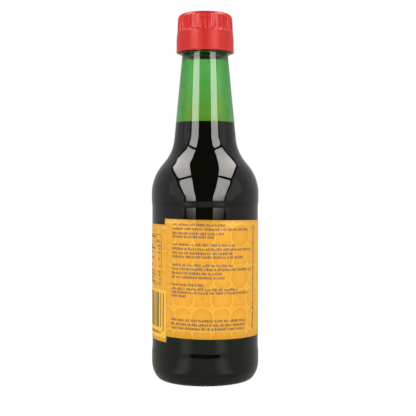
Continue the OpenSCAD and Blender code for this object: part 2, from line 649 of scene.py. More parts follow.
def beside(path: Path, depth: float) -> list[Corner]:
    """Gives the corners of a path that runs beside another, on its right.

    Args:
        path: the corners it follows.
        depth: the distance between the two.

    Returns:
        The corners, with fillets about the same centres.
    """
    shifted = []
    last = len(path) - 1
    for i, corner in enumerate(path):
        into, out = heading(path, max(i - 1, 0)), heading(path, min(i, last - 1))
        rights = Vector((into.y, -into.x)) + Vector((out.y, -out.x))
        shift = rights * depth / (1 + into.dot(out))
        fillet = max(0.0, corner.fillet + math.copysign(depth, bend(path, i)))
        shifted.append(Corner(corner.radius + shift.x, corner.height + shift.y, fillet))
    return shifted


class Pen:
    """Draws half of a turned piece's section in the XZ plane, with extrudes and spins."""

    def __init__(self, start: Corner, step: float = 4.0) -> None:
        """Puts the pen down.

        Args:
            start: where the section starts.
            step: degrees from point to point on a curve.
        """
        self.mesh = bmesh.new()
        self.step = step
        self.hold = 0.25
        self.tip = self.mesh.verts.new((start.radius * MM, 0.0, start.height * MM))

    def line(self, radius: float, height: float) -> None:
        """Draws straight to a point, with a point near each end that keeps a long run straight."""
        start, end = self.tip.co.copy(), Vector((radius * MM, 0.0, height * MM))
        run = end - start
        hold = self.hold * MM
        stops = [end]
        if run.length > 4 * hold:
            stops = [start + run.normalized() * hold, end - run.normalized() * hold, end]
        for stop in stops:
            self.tip = bmesh.ops.extrude_vert_indiv(self.mesh, verts=[self.tip])["verts"][0]
            self.tip.co = stop

    def arc(self, centre: Vector, turn: float) -> None:
        """Draws an arc about a centre, in millimetres, by a turn in radians, left if positive."""
        grown = bmesh.ops.spin(
            self.mesh,
            geom=[self.tip],
            cent=(centre.x * MM, 0.0, centre.y * MM),
            axis=(0.0, -1.0, 0.0),
            angle=turn,
            steps=max(1, math.ceil(abs(math.degrees(turn)) / self.step)),
            use_merge=False,
            use_duplicate=False,
        )
        self.tip = next(v for v in grown["geom_last"] if isinstance(v, bmesh.types.BMVert))

    def corners(self, path: Path) -> None:
        """Draws through a path's corners, each rounded by its own fillet."""
        for i, corner in enumerate(path):
            cut = cutback(path, i) if 0 < i < len(path) - 1 else 0.0
            if cut < WELD:
                self.line(corner.radius, corner.height)
                continue
            turn = bend(path, i)
            run = heading(path, i - 1)
            start = corner.place - run * cut
            left = Vector((-run.y, run.x)) * math.copysign(1.0, turn)
            self.line(start.x, start.y)
            self.arc(start + left * (cut / math.tan(abs(turn) / 2)), turn)

    def quarter_ellipse(self, width: float, height: float) -> None:
        """Draws a quarter ellipse from upright to level, inward and down."""
        first = self.tip
        centre = Vector((first.co.x / MM - width, first.co.z / MM))
        before = set(self.mesh.verts)
        self.arc(centre, -math.pi / 2)
        bmesh.ops.scale(
            self.mesh,
            vec=(1.0, 1.0, height / width),
            space=Matrix.Translation((0.0, 0.0, -centre.y * MM)),
            verts=[v for v in self.mesh.verts if v not in before],
        )

    def turned(self, segments: int) -> Mesh:
        """Spins the section once round the axis.

        Args:
            segments: how many steps make a turn.

        Returns:
            The closed mesh, with its faces outward.
        """
        bmesh.ops.spin(
            self.mesh,
            geom=self.mesh.verts[:] + self.mesh.edges[:],
            cent=(0.0, 0.0, 0.0),
            axis=UP,
            angle=math.tau,
            steps=segments,
            use_merge=True,
            use_duplicate=False,
        )
        bmesh.ops.remove_doubles(self.mesh, verts=self.mesh.verts, dist=WELD)
        bmesh.ops.dissolve_degenerate(self.mesh, edges=self.mesh.edges, dist=WELD)
        bmesh.ops.recalc_face_normals(self.mesh, faces=self.mesh.faces)
        return self.mesh


def finish_piece(
    name: str,
    mesh: Mesh,
    materials: Sequence[bpy.types.Material],
    crease: float = 40.0,
) -> Piece:
    """Turns a mesh in the making into an object at the origin.

    Args:
        name: the piece's name.
        mesh: its mesh in metres, used up here.
        materials: its materials, in the order of its faces' numbers.
        crease: degrees past which an edge is sharp.

    Returns:
        The object.
    """
    data = bpy.data.meshes.new(name)
    mesh.to_mesh(data)
    mesh.free()
    for material in materials:
        data.materials.append(material)
    data.shade_smooth()
    data.set_sharp_from_angle(angle=math.radians(crease))
    made = bpy.data.objects.new(name, data)
    bpy.context.scene.collection.objects.link(made)
    return made


def report(piece: Piece) -> None:
    """Lets a finished piece ride on the body and logs its size."""
    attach(piece, BODY)
    LOG.info("%s: %d faces", piece.name, len(piece.data.polygons))


def turn_of(point: Vector) -> float:
    """Gives a point's turn round the axis, in degrees from the front."""
    return math.degrees(math.atan2(point.x, -point.y))


def neck_at(cavity: Path, height: float) -> tuple[float, float]:
    """Reads how far out a cavity's neck lies at a height.

    Args:
        cavity: the cavity's corners, from the lip down.
        height: the height, in millimetres.

    Returns:
        The radius, and how far up the neck that height is, as a share.
    """
    low, high = cavity[3], cavity[2]
    share = (height - low.height) / (high.height - low.height)
    return low.radius + (high.radius - low.radius) * share, share


# ---------------------------------------------------------------------------------------------
# The bottle


@dataclass
class Glass:
    """The blown bottle: finish with its bead, neck, shoulder, contact bands, heel and push-up."""

    bottle_r: float = 29.0
    height: float = 195.3
    wall: float = 2.5
    panel_recess: float = 0.3
    heel_h: float = 10.2
    heel_w: float = 5.5
    foot_band_h: float = 5.3
    top_band_h: float = 12.8
    panel_slope_h: float = 2.0
    panel_h: float = 76.4
    panel_edge_r: float = 10.0
    shoulder_h: float = 14.2
    shoulder_curve_r: float = 24.3
    neck_curve_r: float = 22.5
    neck_top_r: float = 12.3
    neck_base_r: float = 17.375
    neck_thin: float = 0.55
    # The blown neck's wall is thicker in front and thinner beside that: where, how wide in
    # degrees and by how much. It thins only above the sauce
    thick_front: float = 0.3
    thick_w: float = 14.0
    thin_at: float = 33.0
    thin_w: float = 15.0
    thin_left: float = 0.12
    thin_right: float = 0.3
    thin_from: float = 139.0
    thin_ease_h: float = 5.0
    # How fast that unevenness sets in from the neck's foot and from its bore
    foot_ease: float = 4.0
    bore_ease: float = 6.0
    foot_ease_h: float = 0.6
    ring_line_z: float = 173.2
    ring_line_h: float = 0.5
    ring_line_out: float = 0.06
    finish_h: float = 20.0
    finish_r: float = 12.6
    finish_wall: float = 3.2
    finish_edge_r: float = 0.6
    finish_lip_round: float = 1.5
    bead_r: float = 14.25
    bead_h: float = 3.0
    bore_slope_h: float = 4.0
    bearing_w: float = 3.0
    smooth_w: float = 0.8
    push_up_h: float = 3.0
    push_up_edge_w: float = 2.0
    push_up_rim_share: float = 0.4
    base_t: float = 3.8
    floor_rim_share: float = 0.8
    floor_curve_r: float = 8.0
    mould_line_h: float = 4.2
    mould_step: float = 0.12
    groove_count: int = 60
    groove_depth: float = 0.45
    groove_r: float = 0.9
    groove_margin: float = 1.01
    segments: int = 240
    # Long faces of the neck are cut, so that its wall can vary and the film fade along them
    long_face_h: float = 12.0
    long_face_cuts: int = 9
    film_from: float = 136.0
    film_to: float = 165.0
    finish: Finish = field(default_factory=lambda: PressedGreenGlass("glass_container_blown"))

    @property
    def bearing_r(self) -> float:
        """Outer radius of the flat ring that the bottle stands on."""
        return self.bottle_r - self.heel_w

    @property
    def panel_z(self) -> float:
        """Height of the label panel's lower edge."""
        return self.heel_h + self.foot_band_h + self.panel_slope_h

    @property
    def neck_base_z(self) -> float:
        """Height of the corner between shoulder and neck."""
        return self.shoulder_z + self.shoulder_h

    @property
    def shoulder_z(self) -> float:
        """Height of the corner between body and shoulder."""
        return self.panel_z + self.panel_h + self.panel_slope_h + self.top_band_h

    @property
    def finish_z(self) -> float:
        """Height of the bead's underside."""
        return self.height - self.finish_h

    def outer_side(self) -> list[Corner]:
        """Gives the corners from the bead down to the heel."""
        panel_r = self.bottle_r - self.panel_recess
        panel_top = self.panel_z + self.panel_h
        return [
            Corner(self.neck_top_r, self.finish_z),
            Corner(self.neck_base_r, self.neck_base_z, self.neck_curve_r),
            Corner(self.bottle_r, self.shoulder_z, self.shoulder_curve_r),
            Corner(self.bottle_r, panel_top + self.panel_slope_h, self.panel_edge_r),
            Corner(panel_r, panel_top, self.panel_edge_r),
            Corner(panel_r, self.panel_z + self.foot_ease_h, self.panel_edge_r),
            Corner(
                self.bottle_r,
                self.panel_z - self.panel_slope_h - self.foot_ease_h,
                self.panel_edge_r,
            ),
            Corner(self.bottle_r, self.heel_h),
        ]

    def cavity(self, depth: float) -> list[Corner]:
        """Gives the corners of the inside, from the lip to the middle of the floor.

        Args:
            depth: how deep below the outer skin of the side it lies.

        Returns:
            The corners.
        """
        side = beside(self.outer_side(), depth)
        side[1] = replace(side[1], radius=side[1].radius + self.neck_thin)
        more = depth - self.wall
        bore_r = self.finish_r - self.finish_wall - more
        slope_z = self.finish_z - self.bore_slope_h
        share = (slope_z - self.neck_base_z) / (self.finish_z - self.neck_base_z)
        neck_r = self.neck_base_r + (self.neck_top_r - self.neck_base_r) * share - depth
        floor_z = self.push_up_h + self.base_t + more
        return [
            Corner(bore_r, self.height),
            Corner(bore_r, self.finish_z, self.bore_slope_h),
            Corner(neck_r, slope_z, self.bore_slope_h),
            side[1],
            side[2],
            Corner(
                self.bottle_r - depth,
                floor_z - self.floor_rim_share * self.push_up_h,
                self.floor_curve_r,
            ),
            Corner(0.0, floor_z),
        ]

    def section(self) -> Pen:
        """Draws the whole section, from the lip down the outside and up the inside."""
        edge = self.finish_edge_r
        lip = edge * self.finish_lip_round
        bore_r = self.finish_r - self.finish_wall
        pen = Pen(Corner(bore_r, self.height))
        pen.corners([
            Corner(bore_r, self.height),
            Corner(self.finish_r, self.height, lip),
            Corner(self.finish_r, self.finish_z + self.bead_h + lip, edge),
            Corner(self.bead_r, self.finish_z + self.bead_h, edge),
            Corner(self.bead_r, self.finish_z, lip),
            Corner(self.neck_top_r, self.finish_z),
        ])
        pen.corners(self.neck_ring() + self.outer_side()[1:])
        pen.quarter_ellipse(self.heel_w, self.heel_h)
        inner_r = self.bearing_r - self.bearing_w
        pen.corners([
            Corner(self.bearing_r, 0.0),
            Corner(inner_r + self.smooth_w, 0.0),
            Corner(inner_r, 0.0),
            Corner(
                inner_r - self.push_up_edge_w,
                self.push_up_h * self.push_up_rim_share,
                self.push_up_edge_w,
            ),
            Corner(0.0, self.push_up_h),
        ])
        pen.corners(self.cavity(self.wall)[::-1])
        return pen

    def press_grooves(self, mesh: Mesh) -> None:
        """Lifts the bearing ring into round-bottomed grooves that run outward."""
        reach = (self.bearing_r - self.bearing_w + self.smooth_w / 2) * MM
        pitch = math.tau / self.groove_count
        for vert in mesh.verts:
            out = math.hypot(vert.co.x, vert.co.y)
            if out < reach or vert.co.z > self.groove_depth * MM * self.groove_margin:
                continue
            turn = math.atan2(vert.co.y, vert.co.x)
            off = (turn - round(turn / pitch) * pitch) * out / MM
            if abs(off) < self.groove_r:
                top = math.sqrt(self.groove_r ** 2 - off ** 2) - self.groove_r + self.groove_depth
                vert.co.z = max(vert.co.z, top * MM)

    def step_mould_line(self, mesh: Mesh) -> None:
        """Draws the heel in below the line where the base mould meets the body mould."""
        for vert in mesh.verts:
            out = math.hypot(vert.co.x, vert.co.y)
            if vert.co.z < self.mould_line_h * MM and out > self.bearing_r * MM:
                rise = (out / MM - self.bearing_r) / self.heel_w
                shift = 1 - self.mould_step * MM * rise / out
                vert.co.x *= shift
                vert.co.y *= shift

    def vary_wall(self, vert: bmesh.types.BMVert, share: float) -> None:
        """Moves a point of the neck's inner wall, which blowing left uneven.

        Args:
            vert: the point.
            share: its height, from 0 at the foot of the neck to 1 below the bore.
        """
        turn = turn_of(vert.co)
        off = abs(turn) if abs(turn) < 90 else 180 - abs(turn)
        side = self.thin_right if turn > 0 else self.thin_left
        rise = (vert.co.z / MM - self.thin_from) / self.thin_ease_h
        thinned = side * clamped(rise) * math.exp(-((off - self.thin_at) / self.thin_w) ** 2)
        thickened = self.thick_front * math.exp(-((off / self.thick_w) ** 2))
        near_ends = min(1.0, self.foot_ease * share, max(0.0, self.bore_ease * (1 - share)))
        grown = 1 + (thinned - thickened) * near_ends * MM / math.hypot(vert.co.x, vert.co.y)
        vert.co.x *= grown
        vert.co.y *= grown

    def work_inner_wall(self, mesh: Mesh) -> None:
        """Makes the neck's inner wall uneven and notes the film of sauce at each of its points."""
        layer = mesh.verts.layers.float.new("film")
        middle = self.cavity(self.wall / 2)
        for vert in mesh.verts:
            height = vert.co.z / MM
            split, share = neck_at(middle, height)
            if share > 0 and math.hypot(vert.co.x, vert.co.y) / MM < split:
                self.vary_wall(vert, share)
                vert[layer] = clamped((self.film_to - height) / (self.film_to - self.film_from))

    def neck_ring(self) -> list[Corner]:
        """Gives the corners of the fine line that the neck ring mould leaves below the bead."""
        rise = self.finish_z - self.ring_line_z
        slope = (self.neck_base_r - self.neck_top_r) / (self.finish_z - self.neck_base_z)
        out = self.neck_top_r + slope * rise
        half = self.ring_line_h / 2
        return [
            Corner(out - slope * half, self.ring_line_z + half),
            Corner(out + self.ring_line_out, self.ring_line_z, self.ring_line_h / 3),
            Corner(out + slope * half, self.ring_line_z - half),
        ]

    def build(self) -> Piece:
        """Makes the glass and lets it stand for the CAD glass."""
        mesh = self.section().turned(self.segments)
        long = [
            e for e in mesh.edges
            if abs(e.verts[0].co.z - e.verts[1].co.z) > self.long_face_h * MM
            and max(v.co.z for v in e.verts) > self.neck_base_z * MM
        ]
        bmesh.ops.subdivide_edges(mesh, edges=long, cuts=self.long_face_cuts, use_grid_fill=True)
        self.step_mould_line(mesh)
        self.press_grooves(mesh)
        self.work_inner_wall(mesh)
        piece = finish_piece("bottle_glass", mesh, [self.finish.material()], crease=50.0)
        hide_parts("glass")
        report(piece)
        return piece


@dataclass
class Sauce:
    """The sauce up to its level, with the edge that climbs the glass and what clings above."""

    glass: Glass
    level: float = 138.3
    into_wall: float = 0.15
    climb_h: float = 0.3
    climb_w: float = 1.2
    climb_edge_w: float = 0.25
    # How near the edge and how far below the level the open surface's faces lie
    skin_margin: float = 1.2
    skin_h: float = 0.5
    drop_flat: float = 0.7
    segments: int = 160
    against: Finish = field(default_factory=lambda: SauceAgainstGlass("soy_sauce_behind_glass"))
    open: Finish = field(default_factory=lambda: SauceOpen("soy_sauce_open_surface"))
    # Drops on the inner wall: turn, height, width and length
    drops: tuple[tuple[float, float, float, float], ...] = (
        (-86.0, 158.2, 0.8, 1.9),
        (-62.0, 158.3, 0.55, 0.6),
        (66.0, 158.5, 0.5, 0.6),
        (-80.0, 146.4, 0.6, 0.7),
        (-60.0, 146.6, 0.75, 0.9),
        (-57.0, 144.8, 0.6, 0.7),
        (62.0, 144.1, 0.7, 0.9),
        (84.0, 143.6, 0.7, 2.2),
        (64.0, 146.3, 0.4, 0.5),
        (-14.0, 147.2, 0.35, 0.35),
        (-22.0, 147.1, 0.3, 0.35),
        (21.0, 147.3, 0.35, 0.3),
        (17.0, 146.2, 0.35, 0.35),
        (28.0, 146.0, 0.35, 0.4),
        (33.0, 149.3, 0.3, 0.3),
    )

    def build(self) -> list[Piece]:
        """Makes the sauce and its drops and lets the sauce stand for the CAD sauce."""
        path = self.glass.cavity(self.glass.wall - self.into_wall)
        top = self.level + self.climb_h
        side_r, _ = neck_at(path, top)
        edge_r = side_r - self.into_wall
        pen = Pen(path[-1])
        pen.corners(path[:2:-1] + [Corner(side_r, top)])
        pen.line(edge_r, top)
        pen.corners([
            Corner(edge_r, top),
            Corner(edge_r - self.climb_edge_w, self.level, self.climb_w),
            Corner(side_r - self.climb_w * 2, self.level),
            Corner(0.0, self.level),
        ])
        mesh = pen.turned(self.segments)
        mesh.faces.ensure_lookup_table()
        for face in mesh.faces:
            at = face.calc_center_median()
            inner = math.hypot(at.x, at.y) < (side_r - self.into_wall * self.skin_margin) * MM
            if inner and at.z > (self.level - self.skin_h) * MM:
                face.material_index = 1
        sauce = finish_piece("sauce_fill", mesh, [self.against.material(), self.open.material()])
        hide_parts("sauce")
        report(sauce)
        return [sauce, self.cling(path)]

    def cling(self, path: Path) -> Piece:
        """Makes the drops that cling to the wall above the sauce.

        Args:
            path: the corners of the surface that reaches into the wall.

        Returns:
            All drops as one piece.
        """
        mesh = bmesh.new()
        for turn, height, width, length in self.drops:
            out, _ = neck_at(path, height)
            place = (
                Matrix.Rotation(math.radians(turn), 4, "Z")
                @ Matrix.Translation((0.0, -out * MM, height * MM))
                @ Matrix.Diagonal((width * MM, width * self.drop_flat * MM, length * MM, 1.0))
            )
            bmesh.ops.create_icosphere(mesh, subdivisions=3, radius=0.5, matrix=place)
        drops = finish_piece("sauce_drops", mesh, [self.open.material()])
        report(drops)
        return drops


@dataclass
class Cap:
    """The screw cap: ribbed above, a smooth band that widens downward, and a small lip."""

    foot_z: float = 176.2
    top_z: float = 196.8
    band_top_z: float = 186.8
    band_r: float = 15.45
    lip_out: float = 0.12
    rib_r: float = 15.0
    top_r: float = 14.575
    edge_r: float = 2.8
    step_w: float = 0.12
    step_h: float = 0.4
    flare_h: float = 4.0
    lip_h: float = 0.5
    lip_slope_h: float = 0.7
    lip_bevel: float = 0.1
    bead_room_r: float = 14.45
    thread_room_r: float = 13.45
    shelf_h: float = 1.0
    lid_z: float = 195.3
    rib_count: int = 38
    steps_per_rib: int = 12
    flute_depth: float = 0.65
    flute_flat_w: float = 1.0
    flute_w: float = 2.1
    flute_slope_h: float = 0.8
    flute_foot_h: float = 0.1
    row_h: float = 0.35
    long_face_h: float = 3.0
    # How far from the thread's room, the top and the step a point is past them
    room_margin: float = 0.3
    top_margin: float = 0.05
    step_margin: float = 0.2
    gloss_from: float = 0.75
    finish: Finish = field(default_factory=lambda: MouldedCapPlastic("polypropylene_red_satin"))
    rib_finish: Finish = field(
        default_factory=lambda: MouldedCapPlastic(
            "polypropylene_red_glossy", "#d1170f", "#c6120c", 0.16, 0.36
        )
    )

    @property
    def inside_r(self) -> float:
        """Radius within which all points are the cap's inside."""
        return self.thread_room_r + self.room_margin

    def section(self) -> Pen:
        """Draws the outside from the middle of the top, then the inside."""
        pen = Pen(Corner(0.0, self.top_z), 9.0)
        pen.corners([
            Corner(0.0, self.top_z),
            Corner(self.top_r, self.top_z, self.edge_r),
            Corner(self.rib_r, self.band_top_z + self.step_h),
            Corner(self.rib_r + self.step_w, self.band_top_z, self.step_h / 2),
            Corner(self.band_r, self.band_top_z - self.flare_h, self.flare_h * 2),
            Corner(self.band_r, self.foot_z + self.lip_h + self.lip_slope_h, self.lip_slope_h),
            Corner(self.band_r + self.lip_out, self.foot_z + self.lip_h, self.lip_h / 2),
            Corner(self.band_r + self.lip_out - self.lip_bevel, self.foot_z),
            Corner(self.bead_room_r, self.foot_z),
            Corner(self.bead_room_r, self.band_top_z - self.flare_h),
            Corner(self.thread_room_r, self.band_top_z - self.flare_h + self.shelf_h),
            Corner(self.thread_room_r, self.lid_z),
            Corner(0.0, self.lid_z),
        ])
        return pen

    def flute_reach(self, off: float, height: float) -> float:
        """Gives how far out the bottom of a flute lies.

        Args:
            off: distance from the flute's middle, sideways.
            height: height on the axis, as for the cap's other sizes.

        Returns:
            The radius that a flute leaves there, or one too large to cut.
        """
        rise = height - (self.band_top_z + self.step_h + self.flute_foot_h)
        if rise < 0 or abs(off) >= self.flute_w / 2:
            return math.inf
        grown = math.sin(min(rise / self.flute_slope_h, 1.0) * math.pi / 2)
        into_side = (abs(off) * 2 - self.flute_flat_w) / (self.flute_w - self.flute_flat_w)
        deep = 1 - eased(max(0.0, into_side))
        return self.rib_r - self.flute_depth * grown * deep

    def press_flutes(self, mesh: Mesh) -> None:
        """Presses the flutes between the ribs into the side."""
        pitch = 360 / self.rib_count
        lid_h = self.top_z - self.top_margin
        for vert in mesh.verts:
            out = math.hypot(vert.co.x, vert.co.y) / MM
            height = vert.co.z / MM
            if height < self.band_top_z or (out < self.inside_r and height < lid_h):
                continue
            turn = turn_of(vert.co) / pitch
            off = (turn - math.floor(turn) - 0.5) * math.radians(pitch) * out
            reach = self.flute_reach(off, height)
            if reach < out:
                vert.co.x *= reach / out
                vert.co.y *= reach / out

    def build(self) -> Piece:
        """Makes the cap and lets it stand for the CAD cap."""
        mesh = self.section().turned(self.rib_count * self.steps_per_rib)
        upper = (self.band_top_z + self.step_h) * MM
        long = [
            e for e in mesh.edges
            if abs(e.verts[0].co.z - e.verts[1].co.z) > self.long_face_h * MM
            and min(v.co.z for v in e.verts) > upper - self.step_margin * MM
            and min(math.hypot(v.co.x, v.co.y) for v in e.verts) > self.inside_r * MM
        ]
        cuts = round((self.top_z - self.edge_r - self.band_top_z) / self.row_h)
        bmesh.ops.subdivide_edges(mesh, edges=long, cuts=cuts, use_grid_fill=True)
        self.press_flutes(mesh)
        glossy_z = (self.band_top_z + self.step_h * self.gloss_from) * MM
        for face in mesh.faces:
            if face.calc_center_median().z > glossy_z:
                face.material_index = 1
        materials = [self.finish.material(), self.rib_finish.material()]
        piece = finish_piece("screw_cap", mesh, materials, crease=50.0)
        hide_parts("cap")
        report(piece)
        return piece


# ---------------------------------------------------------------------------------------------
# The label and its print


@dataclass
class Label:
    """A paper strip wound once round the panel on a slant, its end over its start.

    Places on it are given flat: along from its start and up from its lower edge.
    """

    panel_r: float = 28.7
    glue: float = 0.03
    paper: float = 0.1
    height: float = 61.5
    start: float = -49.0
    turn: float = 364.0
    drop: float = 3.2
    low_z: float = 25.84
    lift_from: float = 348.0
    cells_round: int = 182
    cells_up: int = 8
    face: Finish = field(default_factory=lambda: PrintedLabelPaper("paper_coated_offset_print"))
    edge: Finish = field(default_factory=lambda: PlainPaper("paper_cut_edge"))

    @property
    def outer_r(self) -> float:
        """Radius of the printed face."""
        return self.panel_r + self.glue + self.paper

    @property
    def length(self) -> float:
        """Length of the strip."""
        return math.radians(self.turn) * self.outer_r

    def wrap(self, flat: Vector) -> Vector:
        """Winds a point of the flat label round the bottle.

        Args:
            flat: along, up and off the paper, in millimetres.

        Returns:
            The point in metres.
        """
        slant = math.atan(self.drop / (math.tau * self.outer_r))
        wound = math.degrees(flat.x / self.outer_r)
        share = clamped((wound - self.lift_from) / (360 - self.lift_from))
        lift = eased(share) * (self.paper + self.glue)
        lean = math.degrees(flat.y * math.sin(slant) / self.outer_r)
        turn = math.radians(self.start + wound + lean)
        out = self.outer_r + lift + flat.z
        height = self.low_z - self.drop * wound / 360 + flat.y * math.cos(slant)
        return Vector((out * math.sin(turn), -out * math.cos(turn), height)) * MM

    def build(self) -> Piece:
        """Makes the strip and lets it stand for the CAD label."""
        mesh = bmesh.new()
        mesh.loops.layers.uv.new("flat")
        bmesh.ops.create_grid(
            mesh,
            x_segments=self.cells_round,
            y_segments=self.cells_up,
            size=0.5,
            calc_uvs=True,
        )
        for vert in mesh.verts:
            flat = Vector(((vert.co.x + 0.5) * self.length, (vert.co.y + 0.5) * self.height, 0.0))
            vert.co = self.wrap(flat)
        piece = finish_piece("paper_label", mesh, [self.face.material(), self.edge.material()])
        solid = piece.modifiers.new("thickness", "SOLIDIFY")
        solid.thickness = self.paper * MM
        solid.offset = -1.0
        solid.material_offset_rim = 1
        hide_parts("label")
        report(piece)
        return piece


@dataclass(frozen=True)
class Words:
    """A line of greeked words on the flat label."""

    up: float
    end: float
    start: float = 5.7


class Print:
    """Shapes of ink on the label, drawn flat and then wound with it."""

    THICKNESS: ClassVar[float] = 0.012
    CELL_W: ClassVar[float] = 2.0
    # Letters of a line: their widths, how often and how much one is short, and the gaps
    LETTERS: ClassVar[tuple[float, ...]] = (0.3, 0.42, 0.55, 0.66)
    SHORT_ODDS: ClassVar[float] = 0.3
    SHORT: ClassVar[float] = 0.72
    LETTER_GAP: ClassVar[float] = 0.3
    WORD_GAP: ClassVar[float] = 0.55
    LAST_LETTER: ClassVar[float] = 0.5
    # Dashes of the column: their lengths, their shares of its width, and the gaps
    DASHES: ClassVar[tuple[float, ...]] = (0.3, 0.45, 0.6, 0.7)
    DASH_WIDTHS: ClassVar[tuple[float, ...]] = (0.7, 1.0)
    DASH_GAPS: ClassVar[tuple[float, ...]] = (0.16, 0.16, 0.16, 0.16, 0.5)

    def __init__(self, label: Label, name: str, finish: Finish, off: float) -> None:
        """Starts an empty print.

        Args:
            label: the label that it lies on.
            name: the piece's name.
            finish: its ink.
            off: how far its underside lies off the paper.
        """
        self.label = label
        self.name = name
        self.finish = finish
        self.off = off
        self.mesh = bmesh.new()

    def block(self, left: float, low: float, width: float, height: float) -> None:
        """Draws a filled block, cut so that it can follow the bottle."""
        cells = max(1, math.ceil(width / self.CELL_W))
        place = Matrix.Translation((left + width / 2, low + height / 2, 0.0))
        bmesh.ops.create_grid(
            self.mesh,
            x_segments=cells,
            y_segments=1,
            size=0.5,
            matrix=place @ Matrix.Diagonal((width, height, 1.0, 1.0)),
        )

    def frame(self, left: float, low: float, width: float, height: float, corner: float,
              line: float) -> None:
        """Draws the outline of a box with rounded corners."""
        before = set(self.mesh.verts)
        self.block(left, low, width, height)
        fresh = [v for v in self.mesh.verts if v not in before]
        at_corner = [v for v in fresh if len(v.link_edges) == 2]
        bmesh.ops.bevel(
            self.mesh,
            geom=at_corner,
            offset=corner,
            segments=4,
            profile=0.5,
            material=-1,
            affect="VERTICES",
        )
        faces = [f for f in self.mesh.faces if not any(v in before for v in f.verts)]
        rim = bmesh.ops.inset_region(
            self.mesh, faces=faces, thickness=line, use_boundary=True, use_even_offset=True
        )["faces"]
        bmesh.ops.delete(self.mesh, geom=[f for f in faces if f not in set(rim)], context="FACES")

    def words(self, line: Words, tall: float, dice: random.Random) -> None:
        """Draws a line of dashes as long and as far apart as letters in words."""
        at = line.start
        left_in_word = dice.randint(3, 9)
        while at < line.end - self.LAST_LETTER:
            width = min(dice.choice(self.LETTERS), line.end - at)
            short = dice.random() < self.SHORT_ODDS
            height = tall * (self.SHORT if short else 1.0)
            self.block(at, line.up - tall / 2, width, height)
            at += width + self.LETTER_GAP
            left_in_word -= 1
            if left_in_word == 0:
                left_in_word = dice.randint(2, 10)
                at += self.WORD_GAP

    def column(self, along: float, low: float, high: float, wide: float,
               dice: random.Random) -> None:
        """Draws a run of tiny dashes that reads upward."""
        at = low
        while at < high:
            length = dice.choice(self.DASHES)
            self.block(along - wide / 2, at, wide * dice.choice(self.DASH_WIDTHS), length)
            at += length + dice.choice(self.DASH_GAPS)

    def build(self) -> Piece:
        """Gives the print its thickness and winds it onto the bottle."""
        bmesh.ops.recalc_face_normals(self.mesh, faces=self.mesh.faces)
        for face in self.mesh.faces:
            if face.normal.z < 0:
                face.normal_flip()
        bmesh.ops.solidify(self.mesh, geom=self.mesh.faces[:], thickness=self.THICKNESS)
        low = min(v.co.z for v in self.mesh.verts)
        for vert in self.mesh.verts:
            vert.co = self.label.wrap(vert.co - Vector((0.0, 0.0, low - self.off)))
        piece = finish_piece(self.name, self.mesh, [self.finish.material()])
        report(piece)
        return piece


